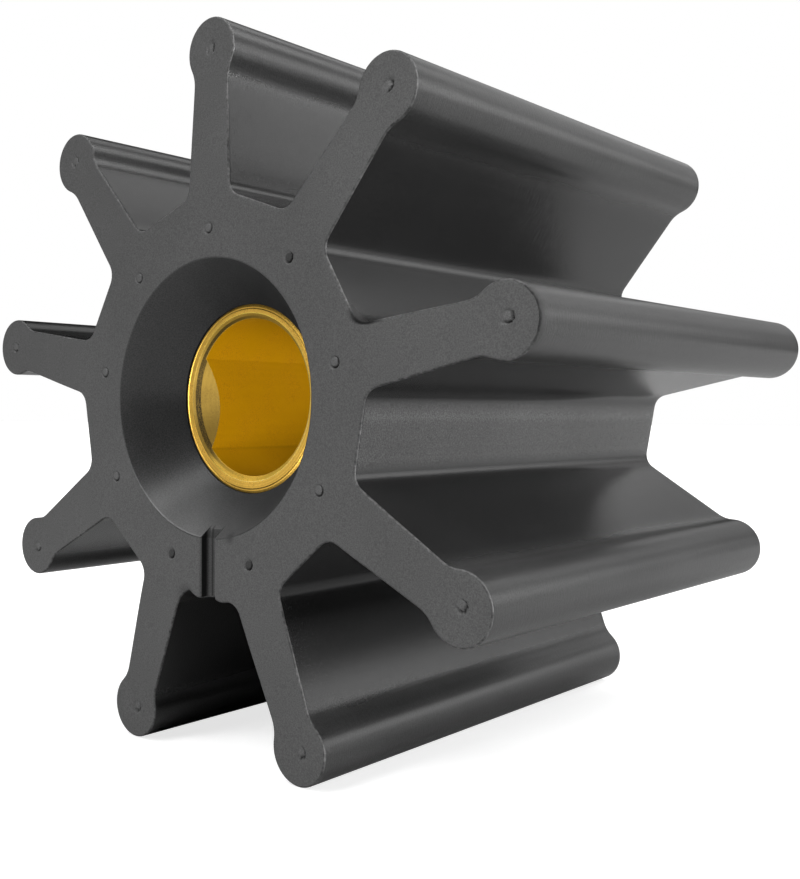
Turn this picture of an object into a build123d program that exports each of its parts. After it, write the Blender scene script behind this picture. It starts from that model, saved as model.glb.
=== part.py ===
from build123d import *
import math
import os

# Flexible pump impeller: a moulded rubber rotor bonded on a brass bush with a D-shaped bore.
# Sizes are in millimetres and degrees. The pieces are drawn with the shaft axis upright, the
# rear face at height 0 and the front face on top, and are laid down at the end: the axis then
# runs along Y, the front faces -Y, the first vane points up, and the origin is at mid-width.

# Rubber moulding
outer_diameter = 95.0
width = 71.5
vane_count = 9
first_vane_angle = 90.0
vane_root_thickness = 7.45
vane_tip_thickness = 5.55
bulb_overhang = 1.3
root_fillet = 2.2
neck_fillet = 4.2
hub_rim_width = 7.5

# Funnel in the front end, down to the bush
recess_depth = 7.0
recess_flare = 5.2

# Radial slot across the front of the hub, counted in gaps clockwise from the first vane
slot_width = 2.9
slot_depth = 1.5
slot_floor_fillet = 0.9
slot_gap_number = 5

# Small round marks that the mould's ejector pins leave in line with every vane
pin_mark_diameter = 1.25
pin_mark_depth = 0.3
tip_mark_offset = 0.35

# Shaft that the bush slides on, with one flat along it
shaft_diameter = 20.0
shaft_flat_to_axis = 8.35
shaft_clearance = 0.15
flat_angle = 186.0

# Brass bush
bush_wall = 2.0
bush_rear_depth = 0.6
lead_in = 0.9
edge_chamfer = 0.35
key_groove_count = 3
key_groove_width = 7.0
key_groove_depth = 0.8

# Worked out from the sizes above
bore_radius = shaft_diameter / 2 + shaft_clearance
flat_to_axis = shaft_flat_to_axis + shaft_clearance
bush_radius = bore_radius + bush_wall
bush_front = width - recess_depth
bush_length = bush_front - bush_rear_depth
lead_in_radius = bore_radius + lead_in
recess_mouth_radius = bush_radius + recess_flare
hub_flat_to_axis = recess_mouth_radius + hub_rim_width
bulb_radius = vane_tip_thickness / 2 + bulb_overhang
bulb_circle_radius = outer_diameter / 2 - bulb_radius
bulb_inside_radius = bulb_circle_radius - bulb_radius
hub_mark_circle_radius = recess_mouth_radius + hub_rim_width / 2
tip_mark_circle_radius = bulb_circle_radius + tip_mark_offset
slot_angle = first_vane_angle - (slot_gap_number - 0.5) * 360 / vane_count


def round_the_vanes(radius):
    """One place on each vane's centre line, at this distance from the axis."""
    return PolarLocations(radius, vane_count, start_angle=first_vane_angle)


def vane_blade():
    """A blade out to its bulb's centre, with straight flanks that draw together outwards."""
    slope = (vane_root_thickness - vane_tip_thickness) / (bulb_circle_radius - hub_flat_to_axis)
    thickness_at_axis = vane_root_thickness + slope * hub_flat_to_axis
    return Polygon(
        (0, -thickness_at_axis / 2),
        (bulb_circle_radius, -vane_tip_thickness / 2),
        (bulb_circle_radius, vane_tip_thickness / 2),
        (0, thickness_at_axis / 2),
        align=None,
    )


def corners_between(outline, inner, outer):
    """The outline's corners whose distance from the axis lies between these two."""
    return [c for c in outline.vertices() if inner < math.hypot(c.X, c.Y) < outer]


def rotor_outline():
    """The hub's flats with the blades and bulbs, rounded at each blade's root and neck."""
    hub = RegularPolygon(
        hub_flat_to_axis,
        vane_count,
        major_radius=False,
        rotation=first_vane_angle,
    )
    blades = [place * vane_blade() for place in round_the_vanes(0)]
    bulbs = [place * Circle(bulb_radius) for place in round_the_vanes(bulb_circle_radius)]
    outline = hub + blades + bulbs
    roots = corners_between(outline, 0, bulb_inside_radius)
    outline = fillet(roots, root_fillet)
    necks = corners_between(outline, bulb_inside_radius, bulb_circle_radius)
    return fillet(necks, neck_fillet)


def half_section(*points):
    """A face on one side of the axis, from (distance to the axis, height) points."""
    return Plane.XZ * Polygon(*points, align=None)


def key_groove_sections():
    """Sections of the grooves round the bush, spread evenly along it and filled with rubber."""
    pitch = bush_length / key_groove_count
    inner = bush_radius - key_groove_depth
    sections = []
    for number in range(key_groove_count):
        low = bush_rear_depth + (number + 0.5) * pitch - key_groove_width / 2
        high = low + key_groove_width
        sections.append(
            half_section((inner, low), (bush_radius, low), (bush_radius, high), (inner, high))
        )
    return sections


def centre_of_rotor():
    """All that is empty of rubber round the axis: the bush's seat and the funnel before it."""
    section = half_section(
        (0, 0),
        (bush_radius, 0),
        (bush_radius, bush_front),
        (recess_mouth_radius, width),
        (0, width),
    )
    return revolve(section - key_groove_sections(), Axis.Z)


def slot():
    """The radial slot with its rounded floor, from inside the funnel out past the hub's flat."""
    section = Rectangle(slot_width, slot_depth, align=(Align.CENTER, Align.MAX))
    floor_corners = section.vertices().group_by(Axis.Y)[0]
    section = fillet(floor_corners, slot_floor_fillet)
    length = outer_diameter / 2 - bush_radius
    channel = extrude(Plane.YZ * section, length)
    return Rot(0, 0, slot_angle) * Pos(bush_radius, 0, width) * channel


def pin_marks():
    """Two shallow round marks a vane on the front face, over the hub's rim and in the bulb."""
    mark = Cylinder(
        pin_mark_diameter / 2,
        pin_mark_depth,
        align=(Align.CENTER, Align.CENTER, Align.MAX),
    )
    places = list(round_the_vanes(hub_mark_circle_radius))
    places += list(round_the_vanes(tip_mark_circle_radius))
    return [Pos(0, 0, width) * place * mark for place in places]


def rubber_rotor():
    """The vaned moulding with its seat, funnel, slot and pin marks."""
    rotor = extrude(rotor_outline(), width)
    rotor -= centre_of_rotor()
    rotor -= slot()
    rotor -= pin_marks()
    return rotor


def d_bore():
    """The shaft's round bore with one flat, right through."""
    beyond_flat = Pos(flat_to_axis, 0) * Rectangle(
        bore_radius,
        2 * bore_radius,
        align=(Align.MIN, Align.CENTER),
    )
    outline = Circle(bore_radius) - Rot(0, 0, flat_angle) * beyond_flat
    return extrude(outline, width)


def lead_in_cone():
    """A 45 degree countersink whose mouth is at height 0, narrowing downwards to a point."""
    return Pos(0, 0, -lead_in_radius) * Cone(
        0,
        lead_in_radius,
        lead_in_radius,
        align=(Align.CENTER, Align.CENTER, Align.MIN),
    )


def brass_bush():
    """The grooved bush with chamfered ends, its D-shaped bore and a lead-in at each end."""
    section = half_section(
        (0, bush_rear_depth),
        (bush_radius - edge_chamfer, bush_rear_depth),
        (bush_radius, bush_rear_depth + edge_chamfer),
        (bush_radius, bush_front - edge_chamfer),
        (bush_radius - edge_chamfer, bush_front),
        (0, bush_front),
    )
    bush = revolve(section - key_groove_sections(), Axis.Z)
    bush -= d_bore()
    bush -= Pos(0, 0, bush_front) * lead_in_cone()
    bush -= Pos(0, 0, bush_rear_depth) * Rot(180, 0, 0) * lead_in_cone()
    return bush


def laid_down(piece):
    """The piece with its axis along Y, its front facing -Y and its middle at the origin."""
    return Plane.XZ * Pos(0, 0, -width / 2) * piece


os.makedirs("parts", exist_ok=True)
export_step(laid_down(rubber_rotor()), "parts/rubber_rotor.step")
export_step(laid_down(brass_bush()), "parts/brass_bush.step")
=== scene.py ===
import math
import bmesh
import bpy
import numpy as np
from mathutils import Matrix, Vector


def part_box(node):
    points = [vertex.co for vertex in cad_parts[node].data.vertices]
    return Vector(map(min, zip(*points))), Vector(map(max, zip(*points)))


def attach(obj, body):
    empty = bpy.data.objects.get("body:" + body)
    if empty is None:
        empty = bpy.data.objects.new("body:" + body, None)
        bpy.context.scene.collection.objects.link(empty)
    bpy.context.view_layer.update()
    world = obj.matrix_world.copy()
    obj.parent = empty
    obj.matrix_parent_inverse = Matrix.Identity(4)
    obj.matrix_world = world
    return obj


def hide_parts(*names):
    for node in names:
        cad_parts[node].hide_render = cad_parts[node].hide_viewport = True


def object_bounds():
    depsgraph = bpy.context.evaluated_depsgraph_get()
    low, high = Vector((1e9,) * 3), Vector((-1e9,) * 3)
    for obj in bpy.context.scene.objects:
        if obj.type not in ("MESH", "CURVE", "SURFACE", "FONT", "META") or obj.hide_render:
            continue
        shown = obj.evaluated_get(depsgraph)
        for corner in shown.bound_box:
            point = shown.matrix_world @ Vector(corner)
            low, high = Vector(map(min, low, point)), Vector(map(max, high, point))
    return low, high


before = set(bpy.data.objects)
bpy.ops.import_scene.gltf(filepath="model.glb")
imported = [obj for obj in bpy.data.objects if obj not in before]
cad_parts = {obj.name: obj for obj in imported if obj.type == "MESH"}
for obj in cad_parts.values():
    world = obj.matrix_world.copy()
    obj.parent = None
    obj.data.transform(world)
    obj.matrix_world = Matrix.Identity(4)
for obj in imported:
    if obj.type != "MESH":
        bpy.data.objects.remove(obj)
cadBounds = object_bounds()
print("frame loaded:", ", ".join(sorted(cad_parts)))

mm = 0.001
rotorLow, rotorHigh = [np.array(corner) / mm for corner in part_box("rubber_rotor")]
bushLow, bushHigh = [np.array(corner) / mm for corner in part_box("brass_bush")]

# Sizes in millimetres and degrees; what the frame can tell is read from it.
rotor = {
    "vaneCount": 9,
    "firstVane": 90.0,
    "outerRadius": rotorHigh[2],
    "frontY": rotorLow[1],
    "rearY": rotorHigh[1],
    "rootThickness": 7.45,
    "tipThickness": 5.55,
    "bulbOverhang": 1.3,
    "rootFillet": 2.2,
    "neckFillet": 4.2,
    "hubRim": 7.5,
    "funnelFlare": 5.2,
    "edgeRadius": 0.2,
    "slotWidth": 2.5,
    "slotDepth": 1.5,
    "slotFloorFillet": 0.9,
    "slotLip": 0.38,
    "slotGap": 5,  # counted clockwise from the first vane
    # painted shade on the slot's walls and along its floor, and a painted highlight beyond one wall
    "slotSide": {"tone": -0.9, "start": 0.198, "ease": 0.144},  # darker from start short of the wall on
    "slotPaintedShadeLine": {"tone": -0.85, "place": -0.55, "halfWidth": 0.14},  # a darker line along the floor
    "slotPaintedHighlightLine": {"tone": 0.25, "place": 0.12, "halfWidth": 0.1},  # a lighter one beyond one wall
    # how far past the slot's walls and how far below its floor its tones may reach
    "slotSlack": 0.02,
    "slotBelow": 0.3,
    "slotFade": 5.0,  # how far down the gap's wall the slot shifts the mesh
    # how far the vanes' front ends stand back from the hub, and the hub's rear end from theirs
    "hubProud": 0.45,
    # each vane's own sideways lean and shortfall at the bulb, as the moulding came out
    "lean": [-0.17, 0.04, 0.02, 0.0, -0.24, -0.22, 0.18, 0.24, -0.24],
    "shortfall": [0.31, 0.19, 0.02, 0.21, 0.0, 0.22, 0.39, 0.0, 0.0],
}

# Ejector pin marks: a ring groove round a centre that is nearly level with the face. The groove
# is deeper on one side, towards deepSide in X and Z, and painted darker there as shade: all round
# it has the even share of that side's look, and it gains or loses the swing. The centre is painted
# a little lighter, as light on it, and some hub marks have painted shade there instead.
marks = {
    "radius": 0.62,
    "grooveWidth": 0.36,
    "grooveDepth": 0.3,
    "centreDepth": 0.05,
    "deepSide": (0.8, -0.6),
    "even": 0.5,
    "swing": 0.55,
    "shallow": 0.25,  # the share of its depth that the groove has on the other side
    "groovePaintedShade": -1.0,
    "centrePaintedLight": 0.25,
    # painted shade in the centres of these hub marks
    "hubMarkPaintedShade": {1: -0.55, 4: -0.55, 5: -0.55},  # centre tones of their own, by the vane from 0
    "tipOffset": 0.35,
    "reach": 2.6,  # how far round a mark the mesh moves along with it
    "denseReach": 1.6,  # how many mark radii the close rows reach to either side
    # each vane's mark off its regular place, across the vane and outwards
    "tipShift": [
        (0, -0.1), (-0.12, 0), (-0.34, 0.1), (-0.6, -0.3), (-0.5, -0.2), (-0.5, -0.6),
        (-0.2, -0.6), (0, 0), (0.07, 0),
    ],
    "hubShift": [
        (-0.05, -0.05), (0.1, 0.15), (-0.3, 0.1), (-0.2, 0.2), (0.05, 0.1), (-0.35, -0.25),
        (0.15, -0.15), (-0.05, -0.1), (-0.15, -0.35),
    ],
}

# Nicks and rough spots by the front: the place in X and Z, the reach round it and down from the
# front, how far the skin moves there, and how much lighter or darker it is painted, which is painted
# shade in the nicks and dents. A spot is at its fullest over the inner quarter of its reach. One on
# the wall alone starts to move the skin a little behind the edge that the wall shares with the face.
spotFullness = 1.3
wallSpot = {"start": 0.15, "ease": 0.5}
spots = [
    {"place": (-4.0, -25.1), "reach": 2.2, "down": 3.0, "move": (0.0, 0.2, 0.45), "tone": -0.2},
    {"place": (-3.6, -24.7), "reach": 0.8, "down": 2.0, "move": (0.0, 0.1, 0.3), "tone": -0.2},
    {"place": (-0.2, -25.0), "reach": 1.3, "down": 1.5, "move": (0.0, 0.0, -0.25), "tone": 0.0},
    {"place": (2.5, -25.0), "reach": 0.9, "down": 2.0, "move": (0.0, 0.0, -0.18), "tone": 0.0},
    {"place": (3.9, -16.9), "reach": 1.1, "down": 1.5, "move": (0.0, 0.1, 0.0), "tone": -0.5},
    {
        "place": (25.0, 8.2), "reach": 3.1, "down": 1.8, "move": (0.0, 0.0, -0.15), "tone": -1.1,
        "wallOnly": True,
    },
    {
        "place": (46.6, 8.2), "reach": 4.6, "down": 2.2, "move": (0.0, 0.0, 0.0), "tone": -0.8,
        "wallOnly": True,
    },
]

# A painted reflection on the hub's flat in one gap, counted clockwise from the first vane: painted
# lighter, with a still lighter line along it. Angles are in degrees from the gap's middle.
gapPaintedReflection = {
    "gap": 3,
    "tone": 2.6,
    "halfAngle": 10.0,
    "ease": 3.0,
    "aboveFlat": 1.5,  # how far out from the flat it goes
    "lineTone": 1.2,
    "lineAngle": 5.0,
    "lineHalfAngle": 1.2,
}

bush = {
    "radius": bushHigh[0],
    "frontY": bushLow[1],
    "rearY": bushHigh[1],
    "boreRadius": 10.15,
    "boreCentre": (0.0, 0.2),
    "flatDistance": 8.2,
    "flatAngle": 185.5,
    "leadIn": 0.62,
    # a ring of painted shade in the lead-in, at least a margin off the bore; all round it has the even
    # share of its darkness, and it gains the swing towards its angle and loses it on the other side
    "paintedShadeRing": {
        "inner": 10.0, "outer": 10.49, "margin": 0.06,
        "darkness": 0.8, "angle": 165.0, "even": 0.3, "swing": 0.8,
    },
    # painted light: how much lighter the lead-in is painted towards some angles, where more light falls
    # on it
    "leadInAngles": [0, 45, 90, 140, 180, 225, 250, 270, 300, 360],
    "leadInPaintedLight": [6.0, 4.0, 3.0, 0.8, 0.0, 0.2, 6.0, 12.0, 12.0, 6.0],
    # painted light on the low part of the bore, from one angle to another and eased in and out
    "lowBorePaintedLight": {"start": 223.0, "easeIn": 2.0, "end": 300.0, "easeOut": 40.0, "tone": 0.1},
    # the face groove's tone is painted shade in it
    "faceGroove": {"radius": 11.57, "halfWidth": 0.09, "depth": 0.08, "tone": -0.75},
    "edgeChamfer": 0.35,
    "edgeSoftness": 0.05,
    "besideEdge": 0.03,  # a narrow row beside an edge keeps tones and shading on its own side
    "toneStep": 0.02,  # how far a tone takes to change at the dark ring
    # painted shade on the front chamfer
    "rimPaintedShade": -0.45,
    "grooveCount": 3,
    "grooveWidth": 7.0,
    "grooveDepth": 0.8,
    "angleSteps": 288,
    "boreSteps": 12,
}

# How finely the rotor is divided: lines near the slot's walls and the marks lie close together.
division = {
    "fromGapMiddle": [0, 0.35, 0.6, 0.85, 1.0, 1.12, 1.2, 1.24, 1.26, 1.3, 1.37, 1.47, 1.63, 2.1, 2.8],
    "fromVaneMiddle": [0, 0.13, 0.26, 0.39, 0.5, 0.58, 0.66, 0.78, 1.0],
    "middleLimit": 2.2,  # half a vane is at least this many times as wide as its middle lines
    "towardsFlank": [0.35, 0.68, 0.9, 1.0],
    "mouthHalfGap": 3.6,  # how far from a gap's middle the roots' lines end on the funnel's mouth
    "rootArc": 7,
    "flank": 11,
    "neckArc": 6,
    "bulb": 26,
    "hubRows": (6, 17, 7),  # inside the pin mark, round it and outside it
    "rearHubRows": 9,
    "lipRows": 4,
    "funnelRows": 12,
    "funnelStart": 0.03,  # the first row's share of the way down
    "wallNearFront": [0.45, 0.8, 1.2, 1.8, 2.8, 4.2],
    "wallFrom": 6.5,  # from here to a little before the rear end the rows are even
    "wallRows": 14,
    "wallBeforeRear": 1.0,
    "softTurns": [0, 22.5, 45, 67.5, 90],  # the rows of the walls' soft edges, by their angles
}

bulbRadius = rotor["tipThickness"] / 2 + rotor["bulbOverhang"]
bulbCircle = rotor["outerRadius"] - bulbRadius
mouthRadius = bush["radius"] + rotor["funnelFlare"]
hubFlat = mouthRadius + rotor["hubRim"]
hubMarkCircle = mouthRadius + rotor["hubRim"] / 2
tipMarkCircle = bulbCircle + marks["tipOffset"]
boreMouth = bush["boreRadius"] + bush["leadIn"]
halfPitch = math.pi / rotor["vaneCount"]
slotAngle = math.radians(rotor["firstVane"]) - (2 * rotor["slotGap"] - 1) * halfPitch


def arcPoints(centre, radius, start, end, count):
    # the centre plus the radius times (cos, sin) of evenly spaced angles
    angle = np.linspace(start, end, count)
    return centre + radius * np.stack([np.cos(angle), np.sin(angle)], -1)


def angleOf(direction):
    return math.atan2(direction[1], direction[0])


def vaneSide():
    # One side of a vane, x across it and v outwards, from the middle of the gap to the bulb's top:
    # the hub's flat, the root's arc, the straight flank, the neck's arc and the bulb's arc.
    # Each arc touches its neighbours, so its centre lies one radius off both of them.
    slope = (rotor["tipThickness"] - rotor["rootThickness"]) / 2 / (bulbCircle - hubFlat)
    lean = math.hypot(1, slope)
    flankAtAxis = rotor["rootThickness"] / 2 - slope * hubFlat
    across = np.array([1.0, -slope]) / lean
    outwards = np.array([math.sin(halfPitch), math.cos(halfPitch)])
    alongFlat = np.array([-outwards[1], outwards[0]])
    rootRadius, neckRadius = rotor["rootFillet"], rotor["neckFillet"]
    rootCentre = np.linalg.solve(
        np.array([[1, -slope], outwards]),
        [flankAtAxis + rootRadius * lean, hubFlat + rootRadius],
    )
    # the neck's centre is on the line beside the flank, a neck and a bulb radius off the bulb
    beside = flankAtAxis + neckRadius * lean
    a = 1 + slope ** 2
    b = 2 * (beside * slope - bulbCircle)
    c = beside ** 2 + bulbCircle ** 2 - (bulbRadius + neckRadius) ** 2
    neckV = (-b - math.sqrt(b * b - 4 * a * c)) / 2 / a
    neckCentre = np.array([beside + slope * neckV, neckV])
    bulbCentre = np.array([0.0, bulbCircle])
    toNeck = (neckCentre - bulbCentre) / (bulbRadius + neckRadius)

    gapMiddle = outwards * hubFlat
    flatLength = float((rootCentre - outwards * rootRadius - gapMiddle) @ alongFlat)
    steps = np.append(division["fromGapMiddle"], flatLength)
    flat = gapMiddle + steps[:, None] * alongFlat
    start = angleOf(-outwards)
    end = start - (math.pi / 2 - halfPitch) + math.atan(-slope)
    root = arcPoints(rootCentre, rootRadius, start, end, division["rootArc"])[1:]
    neckStart = neckCentre - across * neckRadius
    share = np.linspace(0, 1, division["flank"])[1:, None]
    flank = root[-1] + share * (neckStart - root[-1])
    start = math.pi + angleOf(across)
    end = math.pi + angleOf(toNeck)
    neck = arcPoints(neckCentre, neckRadius, start, end, division["neckArc"])[1:]
    bulb = arcPoints(bulbCentre, bulbRadius, angleOf(toNeck), math.pi / 2, division["bulb"])[1:]
    points = np.vstack([flat, root, flank, neck, bulb])
    normals = np.vstack([
        np.tile(outwards, (len(flat), 1)),
        (rootCentre - root) / rootRadius,
        np.tile(across, (len(flank), 1)),
        (neckCentre - neck) / neckRadius,
        (bulb - bulbCentre) / bulbRadius,
    ])
    return points, normals, len(flat) + len(root) - 1


sidePoints, sideNormals, rootIndex = vaneSide()


def eased(share):
    # from 0 to 1, flat at both ends
    share = np.clip(share, 0, 1)
    return share * share * (3 - 2 * share)


def peak(off, halfWidth):
    # a bell curve that is one at the middle and 1/e at the half width
    return np.exp(-(off / halfWidth) ** 2)


def outwardShare(radius):
    # nothing at the hub's flats and one at the bulbs' centres
    return eased((radius - hubFlat) / (bulbCircle - hubFlat))


def framing(vane):
    # a vane's own directions across it and outwards, as (X, Z); vanes are numbered clockwise
    angle = math.radians(rotor["firstVane"]) - 2 * halfPitch * vane
    outwards = np.array([math.cos(angle), math.sin(angle)])
    return np.array([outwards[1], -outwards[0]]), outwards


def turned(points, vane):
    # from a vane's own x and v to the frame's X and Z, with its lean and shortfall
    share = outwardShare(np.hypot(points[..., 0], points[..., 1]))
    off = np.array([rotor["lean"][vane], -rotor["shortfall"][vane]])
    points = points + share[..., None] * off
    across, outwards = framing(vane)
    return points[..., :1] * across + points[..., 1:] * outwards


def acrossVane(halfWidth):
    # line positions over half a vane: fixed ones by its middle, then shares of what is left
    near = np.array(division["fromVaneMiddle"])
    near = near * min(1.0, halfWidth / (division["middleLimit"] * near[-1]))
    far = near[-1] + np.array(division["towardsFlank"]) * (halfWidth - near[-1])
    return np.append(near, far)


def mirrored(rows):
    # the left half of each row is the right half reversed with x negative
    left = rows[..., :0:-1, :] * np.array([-1.0, 1.0])
    return np.concatenate([left, rows], axis=-2)


def hubShares():
    # rows from the funnel's mouth (0) to the vanes' roots (1), close together at the pin mark
    length = sidePoints[rootIndex, 1] - mouthRadius
    middle = (hubMarkCircle - mouthRadius) / length
    reach = marks["denseReach"] * marks["radius"] / length
    inside, beside, outside = division["hubRows"]
    inner = np.linspace(0, middle - reach, inside + 1)[:-1]
    dense = np.linspace(middle - reach, middle + reach, beside)
    outer = np.linspace(middle + reach, 1, outside + 1)[1:]
    return np.concatenate([inner, dense, outer])


def endFace(circleRadius, shares):
    # One vane's share of an end face, as two grids of (x, v): the hub part runs from a circle to
    # the outline along straight lines, and the blade part is level rows as wide as the outline.
    edge = sidePoints - rotor["edgeRadius"] * sideNormals
    steps = np.linalg.norm(np.diff(sidePoints[: rootIndex + 1], axis=0), axis=1)
    fromGap = np.append(0, np.cumsum(steps))
    slotSide = division["fromGapMiddle"][-2]
    innerFromGap = np.interp(
        fromGap,
        [0, slotSide, fromGap[-1]],
        [0, slotSide, division["mouthHalfGap"]],
    )
    gapAngles = halfPitch - np.arcsin(innerFromGap / mouthRadius)
    vaneAngles = acrossVane(gapAngles[-1] * mouthRadius) / mouthRadius
    angles = np.append(vaneAngles, gapAngles[-2::-1])
    inner = circleRadius * np.stack([np.sin(angles), np.cos(angles)], -1)
    root = edge[rootIndex]
    rootX = acrossVane(root[0])
    rootRow = np.stack([rootX, np.full(len(rootX), root[1])], -1)
    outer = np.vstack([rootRow, edge[rootIndex - 1 :: -1]])
    share = shares[:, None, None]
    hub = (1 - share) * inner + share * outer
    blade = np.array([
        np.stack([acrossVane(x), np.full(len(rootX), v)], -1) for x, v in edge[rootIndex:]
    ])
    return mirrored(hub), mirrored(blade), angles


def slotProfile(distance):
    # depth over the distance from the slot's middle: flat, then a quarter round up to its wall,
    # and a quarter round the other way from the wall to the face
    half, depth = rotor["slotWidth"] / 2, rotor["slotDepth"]
    fillet, lip = rotor["slotFloorFillet"], rotor["slotLip"]
    beyond = np.clip(distance - (half - fillet), 0, fillet)
    before = np.clip(half + lip - distance, 0, lip)
    inside = depth - fillet + np.sqrt(fillet ** 2 - beyond ** 2)
    return np.where(distance < half, inside, lip - np.sqrt(lip ** 2 - before ** 2))


def slotDepthAt(x, z):
    direction = np.array([math.cos(slotAngle), math.sin(slotAngle)])
    along = x * direction[0] + z * direction[1]
    beside = np.abs(x * direction[1] - z * direction[0])
    return np.where(along > bush["radius"], slotProfile(beside), 0)


def slotPaintedLight(grid):
    # painted shade and highlight: the slot's walls and a line along its floor are painted darker than
    # the rest, as shade, and one lip is painted lighter, as a highlight
    x, y, z = grid[..., 0], grid[..., 1], grid[..., 2]
    half = rotor["slotWidth"] / 2
    direction = np.array([math.cos(slotAngle), math.sin(slotAngle)])
    beside = z * direction[0] - x * direction[1]
    wall, line, paintedLipHighlight = rotor["slotSide"], rotor["slotPaintedShadeLine"], rotor["slotPaintedHighlightLine"]
    paintedWallShade = eased((np.abs(beside) - half + wall["start"]) / wall["ease"])
    paintedWallShade *= np.abs(beside) < half + rotor["slotSlack"]
    tone = wall["tone"] * paintedWallShade + line["tone"] * peak(beside - line["place"], line["halfWidth"])
    tone += paintedLipHighlight["tone"] * peak(beside - half - paintedLipHighlight["place"], paintedLipHighlight["halfWidth"])
    deepest = rotor["slotDepth"] + rotor["slotBelow"]
    inSlot = (slotDepthAt(x, z) > 0) & (y - rotor["frontY"] < deepest)
    return np.where(inSlot, tone, 0)


def marked(points, vane):
    # The depth and painted shade and light of a vane's two marks over its (x, v) grid, and the grid
    # moved along with them: half a cosine wave across the groove, and the centre's own depth inside it.
    depth = np.zeros(points.shape[:-1])
    tone = np.zeros(points.shape[:-1])
    deepSide = np.array([np.dot(marks["deepSide"], direction) for direction in framing(vane)])
    for circle, shifts, dark in (
        (hubMarkCircle, marks["hubShift"], marks["hubMarkPaintedShade"]),
        (tipMarkCircle, marks["tipShift"], {}),
    ):
        beside = points - np.array([0, circle])
        off = np.linalg.norm(beside, axis=-1)
        across = np.clip((off - marks["radius"]) / marks["grooveWidth"] + 0.5, 0, 1)
        wave = 0.5 - 0.5 * np.cos(2 * math.pi * across)
        towards = marks["swing"] * (beside @ deepSide) / np.maximum(off, 1e-3)
        side = eased(marks["even"] + towards)
        deep = marks["shallow"] + (1 - marks["shallow"]) * side
        centre = np.where(off < marks["radius"], 1 - wave, 0)
        depth += marks["grooveDepth"] * deep * wave + marks["centreDepth"] * centre
        # painted shade in the groove, most on one side, and painted light on the centre, with painted
        # shade there for the listed hub marks
        tone += marks["groovePaintedShade"] * side * wave + dark.get(vane, marks["centrePaintedLight"]) * centre
        near = eased(1 - off / marks["reach"])
        points = points + near[..., None] * np.array(shifts[vane])
    return points, depth, tone


def spotted(grid, wall=False):
    # moves the skin at each spot, easing out with the distance from it, and adds up the tones, their
    # painted shade
    tone = np.zeros(grid.shape[:-1])
    for spot in spots:
        if spot.get("wallOnly") and not wall:
            continue
        off = np.hypot(grid[..., 0] - spot["place"][0], grid[..., 2] - spot["place"][1])
        below = grid[..., 1] - rotor["frontY"]
        near = eased(spotFullness * (1 - off / spot["reach"])) * eased(1 - below / spot["down"])
        moving = near
        if spot.get("wallOnly"):
            moving = near * eased((below - wallSpot["start"]) / wallSpot["ease"])
        grid = grid + moving[..., None] * np.array(spot["move"])
        # painted shade in the nicks and dents
        tone = tone + spot["tone"] * near
    return grid, tone


def paintedReflectionTone(grid):
    # the painted reflection's tone by the angle off the middle of its gap, with its lighter line
    middle = math.radians(rotor["firstVane"]) - (2 * gapPaintedReflection["gap"] - 1) * halfPitch
    angle = np.degrees(np.arctan2(grid[..., 2], grid[..., 0]) - middle)
    radius = np.hypot(grid[..., 0], grid[..., 2])
    inside = eased((gapPaintedReflection["halfAngle"] - np.abs(angle)) / gapPaintedReflection["ease"])
    inside *= radius < hubFlat + gapPaintedReflection["aboveFlat"]
    line = peak(angle - gapPaintedReflection["lineAngle"], gapPaintedReflection["lineHalfAngle"])
    return inside * (gapPaintedReflection["tone"] + gapPaintedReflection["lineTone"] * line)


def settled(grid):
    # End faces aren't quite flat: in front the vanes stand back from the hub, and behind the hub
    # stands back from the vanes. The walls follow in proportion to their place along the axis.
    x, y, z = grid[..., 0], grid[..., 1], grid[..., 2]
    share = outwardShare(np.hypot(x, z))
    along = (y - rotor["frontY"]) / (rotor["rearY"] - rotor["frontY"])
    shift = rotor["hubProud"] * (share * (1 - along) - (1 - share) * along)
    return np.stack([x, y + shift, z], -1)


def slotted(grid):
    # lowers the front by the slot, fading out down the walls of the gap
    x, y, z = grid[..., 0], grid[..., 1], grid[..., 2]
    below = y - rotor["frontY"]
    slot = slotDepthAt(x, z)
    funnel = np.hypot(x, z) < mouthRadius + 0.5 * rotor["edgeRadius"]
    fade = np.clip(1 - below / rotor["slotFade"], 0, 1)
    low = np.where(funnel, np.maximum(below, slot), below + slot * fade)
    return np.stack([x, rotor["frontY"] + low, z], -1)


def level(points, y):
    # (X, Z) points put at one height along the axis
    return np.stack([points[..., 0], np.full(points.shape[:-1], y), points[..., 1]], -1)


def wallLoop():
    # all of the outline and its normals in order round the rotor, and closed
    left = np.array([-1.0, 1.0])
    one = np.vstack([sidePoints * left, sidePoints[-2:0:-1]])
    normal = np.vstack([sideNormals * left, sideNormals[-2:0:-1]])
    points = np.vstack([turned(one, vane) for vane in range(rotor["vaneCount"])])
    normals = np.vstack([turned(normal, vane) for vane in range(rotor["vaneCount"])])
    return np.vstack([points, points[:1]]), np.vstack([normals, normals[:1]])


def wallGrid():
    # the outline carried along the axis, drawn in by a quarter round at both ends
    points, normals = wallLoop()
    softness = rotor["edgeRadius"]
    turn = np.radians(division["softTurns"])
    drawnIn = softness * (1 - np.sin(turn))
    fromEnd = softness * (1 - np.cos(turn))
    front, rear = rotor["frontY"], rotor["rearY"]
    near = front + np.array(division["wallNearFront"])
    start, end = front + division["wallFrom"], rear - division["wallBeforeRear"]
    middle = np.append(near, np.linspace(start, end, division["wallRows"]))
    heights = np.concatenate([front + fromEnd, middle, (rear - fromEnd)[::-1]])
    insets = np.concatenate([drawnIn, np.zeros(len(middle)), drawnIn[::-1]])
    return np.array([level(points - inset * normals, y) for inset, y in zip(insets, heights)])


def roundProfile(rows, angles):
    # a profile of (radius, height) rows turned about the axis
    return np.array([
        level(radius * np.stack([np.cos(angles), np.sin(angles)], -1), y) for radius, y in rows
    ])


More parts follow.
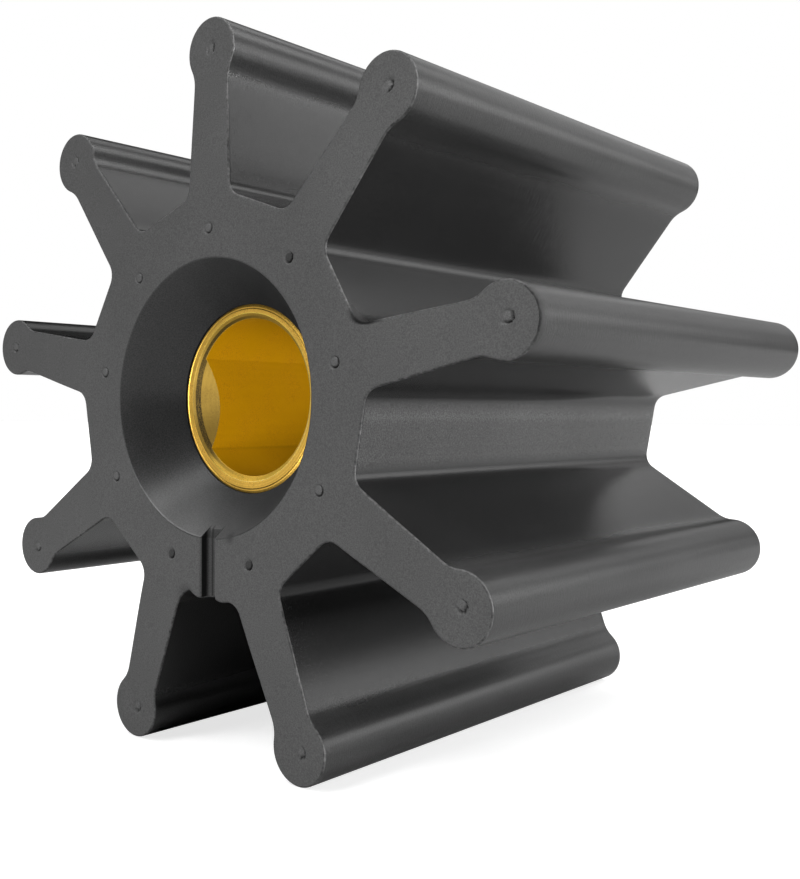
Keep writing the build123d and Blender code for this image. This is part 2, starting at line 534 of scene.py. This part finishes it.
def funnelRows():
    # the funnel's soft lip, its straight side, and the bush's seat with its key ribs
    soft = rotor["edgeRadius"]
    rear = rotor["rearY"] - rotor["hubProud"]
    front, depth = rotor["frontY"], bush["frontY"] - rotor["frontY"]
    steep = math.atan2(depth, rotor["funnelFlare"])
    reach = soft * math.tan(steep / 2)
    rows = []
    for turn in np.linspace(0, steep, division["lipRows"]):
        radius = mouthRadius + reach - soft * math.sin(turn)
        rows.append((radius, front + soft * (1 - math.cos(turn))))
    for share in np.linspace(division["funnelStart"], 1, division["funnelRows"]):
        rows.append((mouthRadius - share * rotor["funnelFlare"], front + share * depth))
    rows += keyedSide(bush["radius"])
    for turn in np.linspace(0, math.pi / 2, division["lipRows"]):
        radius = bush["radius"] + soft * (1 - math.cos(turn))
        rows.append((radius, rear - soft * (1 - math.sin(turn))))
    return rows


def keyedSide(radius):
    # the bush's outside between its chamfers, with its ring grooves
    length = bush["rearY"] - bush["frontY"]
    pitch = length / bush["grooveCount"]
    rows = []
    for number in range(bush["grooveCount"]):
        low = bush["rearY"] - (bush["grooveCount"] - number - 0.5) * pitch - bush["grooveWidth"] / 2
        high = low + bush["grooveWidth"]
        deep = radius - bush["grooveDepth"]
        rows += [(radius, low), (deep, low), (deep, high), (radius, high)]
    return rows


# How grids become one mesh: points this near are one (in metres), and an edge is sharp from this angle
joining = {"weld": 2e-6, "sharpAngle": 34.0}


def makeMesh(name, grids, slots):
    # Each grid is rows of points with a material number and, where it has them, tones, which carry
    # painted light and shade; shared edges are welded together.
    vertices, faces, numbers, tones, offset = [], [], [], [], 0
    for grid, number, *tone in grids:
        rows, columns = grid.shape[:2]
        vertices.append(grid.reshape(-1, 3))
        tones.append(tone[0].ravel() if tone else np.zeros(rows * columns))
        index = offset + np.arange(rows * columns).reshape(rows, columns)
        quads = np.stack([index[:-1, :-1], index[:-1, 1:], index[1:, 1:], index[1:, :-1]], -1)
        faces.append(quads.reshape(-1, 4))
        numbers.append(np.full(len(faces[-1]), number))
        offset += rows * columns
    mesh = bpy.data.meshes.new(name)
    mesh.from_pydata(np.concatenate(vertices) * mm, [], np.concatenate(faces).tolist())
    mesh.polygons.foreach_set("material_index", np.concatenate(numbers).astype(np.int32))
    # the tone attribute holds painted light and shade
    layer = mesh.attributes.new("tone", "FLOAT", "POINT")
    layer.data.foreach_set("value", np.concatenate(tones).astype(np.float32))
    work = bmesh.new()
    work.from_mesh(mesh)
    bmesh.ops.remove_doubles(work, verts=work.verts, dist=joining["weld"])
    bmesh.ops.recalc_face_normals(work, faces=work.faces)
    work.to_mesh(mesh)
    work.free()
    mesh.polygons.foreach_set("use_smooth", np.ones(len(mesh.polygons), bool))
    mesh.set_sharp_from_angle(angle=math.radians(joining["sharpAngle"]))
    piece = bpy.data.objects.new(name, mesh)
    bpy.context.scene.collection.objects.link(piece)
    for material in slots:
        mesh.materials.append(material)
    return piece


# Finishes. Scales are in lines or grains a metre, heights in millimetres.
rubberFinish = {
    "rubberEnd": {
        "base": 0.078, "roughness": 0.5, "roughnessSpread": 0.06,
        "grain": 6500, "grainContrast": 0.4, "grainHeight": 0.006,
        "patch": 90, "patchContrast": 0.06, "streak": 0.0,
    },
    "rubberFlank": {
        "base": 0.013, "roughness": 0.25, "roughnessSpread": 0.02,
        "grain": 6000, "grainContrast": 0.6, "grainHeight": 0.003,
        "patch": 60, "patchContrast": 0.15, "streak": 0.1,
        "crossGrain": 7000, "crossHeight": 0.009, "bulbRoughness": 0.04, "bulbTone": 1.0,
    },
    "rubberFunnel": {
        "base": 0.041, "roughness": 0.33, "roughnessSpread": 0.02,
        "grain": 6000, "grainContrast": 0.6, "grainHeight": 0.004,
        "patch": 140, "patchContrast": 0.1, "streak": 0.0,
    },
    "rubberEdge": {
        "base": 0.06, "roughness": 0.55, "roughnessSpread": 0.06,
        "grain": 2600, "grainContrast": 0.9, "grainHeight": 0.02,
        "patch": 300, "patchContrast": 0.5, "streak": 0.0,
    },
}

brassFinish = {
    "brassFace": {
        "colour": (0.8, 0.5, 0.09), "dull": (0.35, 0.19, 0.035), "metallic": 1.0,
        "roughness": 0.46, "roughnessSpread": 0.06, "turning": 900, "turningHeight": 0.004,
        "lines": 0.35,
    },
    # the bore's brass: its own colour, painted brighter and more orange as painted light, with less
    # metal
    "brassBoreWithPaintedLight": {
        "colour": (0.9, 0.42, 0.002), "dull": (0.68, 0.27, 0.002), "metallic": 0.6,
        "roughness": 0.42, "roughnessSpread": 0.06, "turning": 700, "turningHeight": 0.003,
        "lines": 0.15,
    },
    # a darkened copy of the brass for the lead-in, as painted shade; its tones paint light back on it
    "brassLeadInPaintedShade": {
        "colour": (0.094, 0.059, 0.009), "dull": (0.065, 0.038, 0.006), "metallic": 0.9,
        "roughness": 0.5, "roughnessSpread": 0.06, "turning": 700, "turningHeight": 0.001,
        "lines": 0.05,
    },
}


# How many finer layers each kind of noise has
noiseDetail = {"grain": 3.0, "patch": 4.0, "drawLines": 3.0, "crossGrain": 1.0, "turning": 1.0}

# What all rubber finishes share: the draw lines along the axis, ribs across it, and the bulbs,
# which have a little more roughness and tone from one distance inside their circle to another
rubberLook = {
    "drawLines": 900,
    "drawStretch": (1, 0.03, 1),
    "drawTone": 0.5,  # how much of the streak shows in the tone, and in the height
    "drawHeight": 0.3,
    "crossStretch": (0.12, 1, 0.12),
    "uneven": (0.75, 1.25),  # streaks times patches: the roughness has its spread over this range
    "darkRoughness": 0.7,  # how much rougher a darker tone is
    "bulbStart": 5.5,
    "bulbEnd": 2.5,
}

# What all brass finishes share
brassLook = {
    "grain": 6000,
    "grainHeight": 0.006,
    "patch": 260,
    "distortion": 0.6,
    # how strong a noise has to be to dull the brass: where it starts and where it is full
    "worn": (0.35, 0.7),
    "specks": (0.42, 0.7),
    "leastWorn": 0.1,
    # the grain over its own range breaks up the painted light and shade of a tone between two shares of
    # it
    "brokenTone": (0.6, 1.2),
    "brokenRange": (0.35, 0.65),
}


def addNode(tree, kind, inputs, **settings):
    # a node with its settings; a socket among the inputs is linked, and anything else is its value
    node = tree.nodes.new(kind)
    for name, value in settings.items():
        setattr(node, name, value)
    for name, value in inputs.items():
        if isinstance(value, bpy.types.NodeSocket):
            tree.links.new(value, node.inputs[name])
        else:
            node.inputs[name].default_value = value
    return node


def noise(tree, place, scale, detail, stretch=(1, 1, 1)):
    # noise in grains a metre on the piece's own coordinates, from about 0.25 to 0.75
    if stretch != (1, 1, 1):
        place = addNode(tree, "ShaderNodeMapping", {"Vector": place, "Scale": stretch}).outputs[0]
    inputs = {"Vector": place, "Scale": scale, "Detail": detail}
    return addNode(tree, "ShaderNodeTexNoise", inputs).outputs[0]


def ranged(tree, value, low, high, fromLow=0.25, fromHigh=0.75):
    return addNode(tree, "ShaderNodeMapRange", {
        "Value": value, "From Min": fromLow, "From Max": fromHigh, "To Min": low, "To Max": high,
    }).outputs[0]


def combined(tree, operation, first, second):
    return addNode(tree, "ShaderNodeMath", {0: first, 1: second}, operation=operation).outputs[0]


def greyOf(tree, value):
    inputs = {"Red": value, "Green": value, "Blue": value}
    return addNode(tree, "ShaderNodeCombineColor", inputs).outputs[0]


def newMaterial(name):
    material = bpy.data.materials.new(name)
    material.use_nodes = True
    tree = material.node_tree
    return material, tree, tree.nodes["Principled BSDF"]


def bulbShare(tree, place):
    # from nothing at a vane's neck to one at its bulb, by the distance from the axis
    beside = addNode(tree, "ShaderNodeVectorMath", {0: place, 1: (1, 0, 1)}, operation="MULTIPLY")
    beside = addNode(tree, "ShaderNodeVectorMath", {0: beside.outputs[0]}, operation="LENGTH")
    start = (bulbCircle - rubberLook["bulbStart"]) * mm
    end = (bulbCircle - rubberLook["bulbEnd"]) * mm
    return ranged(tree, beside.outputs["Value"], 0, 1, start, end)


def rubberMaterial(name):
    # Black rubber: a fine grain in colour and height, patches, draw lines along the axis, and the
    # painted light and shade of the tone attribute.
    finish = rubberFinish[name]
    material, tree, shader = newMaterial(name)
    place = addNode(tree, "ShaderNodeTexCoord", {}).outputs["Object"]
    grain = noise(tree, place, finish["grain"], noiseDetail["grain"])
    patch = noise(tree, place, finish["patch"], noiseDetail["patch"])
    detail, stretch = noiseDetail["drawLines"], rubberLook["drawStretch"]
    streak = noise(tree, place, rubberLook["drawLines"], detail, stretch)
    speckle = ranged(tree, grain, 1 - finish["grainContrast"], 1 + finish["grainContrast"])
    blotch = ranged(tree, patch, 1 - finish["patchContrast"], 1 + finish["patchContrast"])
    swing = rubberLook["drawTone"] * finish["streak"]
    line = ranged(tree, streak, 1 - swing, 1 + swing)
    tone = combined(tree, "MULTIPLY", speckle, blotch)
    tone = combined(tree, "MULTIPLY", tone, line)
    # painted light and shade from the tone attribute
    own = addNode(tree, "ShaderNodeAttribute", {}, attribute_name="tone").outputs["Fac"]
    tone = combined(tree, "MULTIPLY", tone, combined(tree, "ADD", own, 1.0))
    tone = combined(tree, "MULTIPLY", tone, finish["base"])
    bulb = bulbShare(tree, place)
    if finish.get("bulbTone"):
        lighter = combined(tree, "ADD", combined(tree, "MULTIPLY", bulb, finish["bulbTone"]), 1.0)
        tone = combined(tree, "MULTIPLY", tone, lighter)
    tree.links.new(greyOf(tree, tone), shader.inputs["Base Color"])
    spread = finish["roughnessSpread"]
    uneven = combined(tree, "MULTIPLY", line, blotch)
    low, high = finish["roughness"] - spread, finish["roughness"] + spread
    rough = ranged(tree, uneven, low, high, *rubberLook["uneven"])
    dark = combined(tree, "MULTIPLY", own, -rubberLook["darkRoughness"])
    rough = combined(tree, "ADD", rough, combined(tree, "MAXIMUM", dark, 0.0))
    if finish.get("bulbRoughness"):
        rougher = combined(tree, "MULTIPLY", bulb, finish["bulbRoughness"])
        rough = combined(tree, "ADD", rough, rougher)
    tree.links.new(rough, shader.inputs["Roughness"])
    height = combined(tree, "MULTIPLY", streak, rubberLook["drawHeight"] * finish["streak"])
    height = combined(tree, "ADD", height, grain)
    if finish.get("crossGrain"):
        # fine ribs across the axis draw the highlights out along it
        detail, stretch = noiseDetail["crossGrain"], rubberLook["crossStretch"]
        cross = noise(tree, place, finish["crossGrain"], detail, stretch)
        share = finish["crossHeight"] / finish["grainHeight"]
        height = combined(tree, "ADD", height, combined(tree, "MULTIPLY", cross, share))
    # twice the height, since the noise covers about half of its range
    bump = addNode(tree, "ShaderNodeBump", {
        "Strength": 1.0, "Distance": 2 * finish["grainHeight"] * mm, "Height": height,
    })
    tree.links.new(bump.outputs[0], shader.inputs["Normal"])
    return material


def brassMaterial(name):
    # Turned brass: rings on the end faces, rings along the bore, fine grain, duller specks, and the
    # painted light and shade of the tone attribute.
    finish, look = brassFinish[name], brassLook
    material, tree, shader = newMaterial(name)
    place = addNode(tree, "ShaderNodeTexCoord", {}).outputs["Object"]
    grain = noise(tree, place, look["grain"], noiseDetail["grain"])
    patch = noise(tree, place, look["patch"], noiseDetail["patch"])
    wave = {
        "Vector": place, "Scale": finish["turning"],
        "Distortion": look["distortion"], "Detail": noiseDetail["turning"],
    }
    rings = addNode(tree, "ShaderNodeTexWave", wave, wave_type="RINGS", rings_direction="Y")
    bands = addNode(tree, "ShaderNodeTexWave", wave, wave_type="BANDS", bands_direction="Y")
    worn = ranged(tree, patch, look["leastWorn"], 1, *look["worn"])
    speck = ranged(tree, grain, 0, 1, *look["specks"])
    dulled = combined(tree, "MULTIPLY", worn, speck)
    lines = combined(tree, "MULTIPLY", rings.outputs["Fac"], finish["lines"])
    dulled = combined(tree, "MAXIMUM", dulled, lines)
    colours = {0: dulled, 6: (*finish["colour"], 1), 7: (*finish["dull"], 1)}
    colour = addNode(tree, "ShaderNodeMix", colours, data_type="RGBA")
    # painted light and shade from the tone attribute, broken up by the grain
    own = addNode(tree, "ShaderNodeAttribute", {}, attribute_name="tone").outputs["Fac"]
    broken = ranged(tree, grain, *look["brokenTone"], *look["brokenRange"])
    broken = combined(tree, "MULTIPLY", own, broken)
    shade = greyOf(tree, combined(tree, "ADD", broken, 1.0))
    shaded = {0: 1.0, 6: colour.outputs[2], 7: shade}
    shaded = addNode(tree, "ShaderNodeMix", shaded, data_type="RGBA", blend_type="MULTIPLY")
    tree.links.new(shaded.outputs[2], shader.inputs["Base Color"])
    shader.inputs["Metallic"].default_value = finish["metallic"]
    spread = finish["roughnessSpread"]
    rough = ranged(tree, patch, finish["roughness"] - spread, finish["roughness"] + spread)
    tree.links.new(rough, shader.inputs["Roughness"])
    turned = combined(tree, "ADD", rings.outputs["Fac"], bands.outputs["Fac"])
    turned = combined(tree, "MULTIPLY", turned, finish["turningHeight"])
    fine = combined(tree, "MULTIPLY", grain, look["grainHeight"])
    height = combined(tree, "ADD", fine, turned)
    bump = addNode(tree, "ShaderNodeBump", {"Strength": 1.0, "Distance": mm, "Height": height})
    tree.links.new(bump.outputs[0], shader.inputs["Normal"])
    return material


def rubberRotor():
    # materials: 0 end faces, 1 walls, 2 funnel, 3 soft edges
    grids = []
    shares = hubShares()
    profile = funnelRows()
    frontHub, frontBlade, angles = endFace(profile[0][0], shares)
    rearHub, rearBlade, _ = endFace(profile[-1][0], np.linspace(0, 1, division["rearHubRows"]))
    for vane in range(rotor["vaneCount"]):
        for part in (frontHub, frontBlade):
            moved, depth, tone = marked(part, vane)
            face = slotted(level(turned(moved, vane), rotor["frontY"]))
            tone += slotPaintedLight(face)
            face, spotPaintedShade = spotted(settled(face))
            face[..., 1] += depth
            grids.append((face, 0, tone + spotPaintedShade))
        for part in (rearHub, rearBlade):
            grids.append((settled(level(turned(part, vane), rotor["rearY"])), 0))
    wall, tone = spotted(settled(slotted(wallGrid())), wall=True)
    soft = len(division["softTurns"])
    for rows, number in (
        (slice(0, soft), 3),
        (slice(soft - 1, 1 - soft), 1),
        (slice(-soft, None), 3),
    ):
        # the walls carry the painted reflection
        rowTone = tone[rows] + (paintedReflectionTone(wall[rows]) if number == 1 else 0)
        grids.append((wall[rows], number, rowTone))
    fan = np.concatenate([-angles[:0:-1], angles])
    first = math.radians(rotor["firstVane"])
    around = np.concatenate([
        first - 2 * halfPitch * vane - fan[:-1] for vane in range(rotor["vaneCount"])
    ])
    around = np.append(around, around[0])
    funnel, tone = spotted(slotted(roundProfile(profile, around)))
    grids.append((funnel, 2, tone + slotPaintedLight(funnel)))
    return makeMesh("rubberRotor", grids, [rubberMaterial(name) for name in rubberFinish])


def boreOutline():
    # Angles round the bore, which lie closer together over its flat, and how far the bore is from
    # its axis at each: its radius, or the flat's distance over the cosine of the angle off the
    # flat where that is less.
    flat = math.radians(bush["flatAngle"])
    corner = math.acos(bush["flatDistance"] / bush["boreRadius"])
    around = flat + np.linspace(-corner, corner, bush["angleSteps"] // 4 + 1)
    rest = flat + np.linspace(corner, 2 * math.pi - corner, bush["angleSteps"] * 3 // 4 + 1)
    around = np.append(around, rest[1:])
    off = np.abs((around - flat + math.pi) % (2 * math.pi) - math.pi)
    overFlat = bush["flatDistance"] / np.cos(np.minimum(off, corner))
    return around, np.where(off < corner, overFlat, bush["boreRadius"])


def leadInRows(around, bore):
    # The 45 degree lead-in from the bore's edge to the end face, painted lighter towards some angles as
    # light on it and with its ring of painted shade. All rows are of radius, height and tone, each an
    # array round the bush.
    front, soft, ring = bush["frontY"], bush["edgeSoftness"], bush["paintedShadeRing"]
    # painted light by the angle, and the ring's painted shade
    light = np.interp(np.degrees(around) % 360, bush["leadInAngles"], bush["leadInPaintedLight"])
    share = ring["even"] + ring["swing"] * np.cos(around - math.radians(ring["angle"]))
    dark = (1 + light) * (1 - ring["darkness"] * eased(share)) - 1
    inner = np.maximum(ring["inner"], bore + ring["margin"])
    step, whole = bush["toneStep"], np.ones(len(around))
    rows = [
        (bore, light),
        (inner - step, light),
        (inner, dark),
        (ring["outer"] - step, dark),
        (ring["outer"], light),
        (boreMouth - soft - bush["besideEdge"], light),
        (boreMouth - soft, light),
    ]
    rows = [
        (radius * whole, (front + boreMouth - radius) * whole, tone) for radius, tone in rows
    ]
    return rows + [((boreMouth + soft) * whole, front * whole, light)]


def boreRows(around, bore, edge):
    # the bore's outline carried from the rear lead-in to the front one, whose edge is given
    # painted light on the low part of the bore
    low = bush["lowBorePaintedLight"]
    degrees = np.degrees(around) % 360
    tone = low["tone"] * eased((degrees - low["start"]) / low["easeIn"])
    tone = tone * eased((low["end"] - degrees) / low["easeOut"])
    start, end = bush["rearY"] - (boreMouth - bore), edge[1]
    shares = np.linspace(0, 1, bush["boreSteps"])[:-1]
    rows = [(bore, start + share * (end - start), tone) for share in shares]
    return rows + [(bore, end + bush["besideEdge"], tone), edge]


def outsideRows():
    # the front face from the mouth outwards with its groove, the keyed side and the rear face
    front, rear, soft = bush["frontY"], bush["rearY"], bush["edgeSoftness"]
    chamfer, groove, rim = bush["edgeChamfer"], bush["faceGroove"], bush["rimPaintedShade"]
    outer = bush["radius"] - chamfer
    return [
        (boreMouth + soft + bush["besideEdge"], front, 0),
        (groove["radius"] - groove["halfWidth"], front, 0),
        # the groove painted darker, as shade
        (groove["radius"], front + groove["depth"], groove["tone"]),
        (groove["radius"] + groove["halfWidth"], front, 0),
        (outer - soft - bush["besideEdge"], front, 0),
        (outer - soft, front, 0),
        # the front chamfer painted darker, as shade
        (outer + soft, front + soft, rim),
        (bush["radius"], front + chamfer, rim),
        *[(radius, y, 0) for radius, y in keyedSide(bush["radius"])],
        (bush["radius"], rear - chamfer, 0),
        (outer + soft, rear - soft, 0),
        (outer - soft, rear, 0),
        (boreMouth + soft, rear, 0),
        (boreMouth - soft, rear - soft, 0),
    ]


def brassBush():
    # materials: 0 outside and end faces, 1 bore, 2 lead-in
    around, bore = boreOutline()
    leadIn = leadInRows(around, bore)
    inside = boreRows(around, bore, leadIn[0])
    whole = np.ones(len(around))
    outside = [(radius * whole, y * whole, tone * whole) for radius, y, tone in outsideRows()]
    outside = [leadIn[-1], *outside, inside[0]]
    grids = []
    for rows, number in ((outside, 0), (inside, 1), (leadIn, 2)):
        radius, y, tone = [np.array([row[part] for row in rows]) for part in range(3)]
        # the bore and its mouth stand off the middle, the outside doesn't
        inner = radius < boreMouth + 2 * bush["edgeSoftness"]
        x = radius * np.cos(around) + inner * bush["boreCentre"][0]
        z = radius * np.sin(around) + inner * bush["boreCentre"][1]
        grids.append((np.stack([x, y, z], -1), number, tone))
    return makeMesh("brassBush", grids, [brassMaterial(name) for name in brassFinish])


rotorPiece = rubberRotor()
bushPiece = brassBush()
for piece, node, finish in (
    (rotorPiece, "rubber_rotor", "rubber"),
    (bushPiece, "brass_bush", "brass"),
):
    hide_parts(node)
    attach(piece, "root")
    print(piece.name, len(piece.data.polygons), "faces")
bushPiece.visible_diffuse = bushPiece.visible_glossy = False  # throws no glow on the rubber

# The camera stands where the photograph was taken from: the lens and the shift are in pixels of
# the 800 by 879 frame, and the place is in millimetres from the middle of the bore.
view = {
    "azimuth": 41.459,
    "elevation": 0.174,
    "roll": 0.186,
    "place": (102.51, -128.28, -1.4),
    "focalPixels": 1110.95,
    "principal": (333.7, 413.3),
    "frame": (800, 879),
    "clip": (0.005, 50),  # in metres
}


def addCamera():
    camera = bpy.data.cameras.new("camera")
    camera.lens = view["focalPixels"] / max(view["frame"]) * camera.sensor_width
    camera.shift_x = (view["frame"][0] / 2 - view["principal"][0]) / max(view["frame"])
    camera.shift_y = (view["principal"][1] - view["frame"][1] / 2) / max(view["frame"])
    camera.clip_start, camera.clip_end = view["clip"]
    holder = bpy.data.objects.new("camera", camera)
    turn = Matrix.Rotation(math.radians(view["azimuth"]), 4, "Z")
    turn @= Matrix.Rotation(math.radians(90 - view["elevation"]), 4, "X")
    turn @= Matrix.Rotation(math.radians(view["roll"]), 4, "Z")
    holder.matrix_world = Matrix.Translation(np.array(view["place"]) * mm) @ turn
    bpy.context.scene.collection.objects.link(holder)
    bpy.context.scene.camera = holder


# The studio: soft lights far off, each by the way it lies from the object (azimuth from the X axis,
# and height above the horizon, in degrees) and its brightness, over a floor that goes over into
# the white behind it. The floor's size is in metres.
studio = {
    "floorTone": 0.48,
    "floorRoughness": 0.9,
    "floorLift": 0.75,  # how much the floor is brightened where it is seen
    "floorSize": 3.0,
    "lightWidth": 22.0,
    "bushLights": [(-62, 4, 30.0), (-85, 50, 12.0), (-75, -15, 48.0)],
    "restLights": [
        (18, -4, 38.3), (6, 4, 23.9), (-104, 24, 9.2), (9, 46, 9.1), (29, 55, 9.0), (-109, 54, 8.4),
        (-89, 64, 4.5), (-161, 50, 3.7), (46, 15, 2.3), (-141, 60, 2.3), (61, 49, 2.1), (114, 53, 1.1),
        (106, 33, 0.76), (66, 21, 0.67), (58, 6, 0.66), (73, 37, 0.66), (98, 17, 0.32), (86, 27, 0.3),
    ],
}


def addFloor():
    size = studio["floorSize"]
    mesh = bpy.data.meshes.new("floor")
    corners = [(-size, -size), (size, -size), (size, size), (-size, size)]
    mesh.from_pydata([(x, y, cadBounds[0][2]) for x, y in corners], [], [(0, 1, 2, 3)])
    material, tree, shader = newMaterial("floor")
    tone = studio["floorTone"]
    shader.inputs["Base Color"].default_value = (tone, tone, tone, 1)
    shader.inputs["Roughness"].default_value = studio["floorRoughness"]
    shader.inputs["Specular IOR Level"].default_value = 0.0
    shader.inputs["Emission Color"].default_value = (1, 1, 1, 1)
    seen = addNode(tree, "ShaderNodeLightPath", {}).outputs["Is Camera Ray"]
    lift = combined(tree, "MULTIPLY", seen, studio["floorLift"])
    tree.links.new(lift, shader.inputs["Emission Strength"])
    mesh.materials.append(material)
    floor = bpy.data.objects.new("floor", mesh)
    bpy.context.scene.collection.objects.link(floor)


def addBackdrop():
    # white where it is seen, and dark to the object, which the soft lights alone light
    world = bpy.data.worlds.new("studio")
    world.use_nodes = True
    tree = world.node_tree
    background = tree.nodes["Background"]
    background.inputs["Color"].default_value = (1, 1, 1, 1)
    seen = addNode(tree, "ShaderNodeLightPath", {}).outputs["Is Camera Ray"]
    tree.links.new(seen, background.inputs["Strength"])
    bpy.context.scene.world = world


def addSoftLight(name, azimuth, height, brightness):
    # the energy is the brightness of the light's disc times the solid angle that it fills
    width = math.radians(studio["lightWidth"])
    light = bpy.data.lights.new(name, "SUN")
    light.angle = width
    light.energy = brightness * 2 * math.pi * (1 - math.cos(width / 2))
    holder = bpy.data.objects.new(name, light)
    turn = Matrix.Rotation(math.radians(azimuth), 4, "Z")
    holder.matrix_world = turn @ Matrix.Rotation(math.radians(90 - height), 4, "Y")
    bpy.context.scene.collection.objects.link(holder)
    return holder


def addLights():
    # The brass has lights of its own, which the floor doesn't block and which don't bounce on, and
    # the rest has the others.
    groups = {}
    for name, pieces in (
        ("rest", [rotorPiece, bpy.data.objects["floor"]]),
        ("bush", [bushPiece]),
        ("part", [rotorPiece, bushPiece]),
    ):
        groups[name] = bpy.data.collections.new(name + "Group")
        for piece in pieces:
            groups[name].objects.link(piece)
    for kind in ("rest", "bush"):
        for number, (azimuth, height, brightness) in enumerate(studio[kind + "Lights"]):
            holder = addSoftLight("%sLight%d" % (kind, number), azimuth, height, brightness)
            holder.light_linking.receiver_collection = groups[kind]
            if kind == "bush":
                holder.light_linking.blocker_collection = groups["part"]
                holder.data.cycles.max_bounces = 0


addCamera()
addFloor()
addBackdrop()
addLights()
bpy.context.scene.view_settings.view_transform = "Standard"
print("camera, floor and", len(studio["restLights"] + studio["bushLights"]), "lights placed")
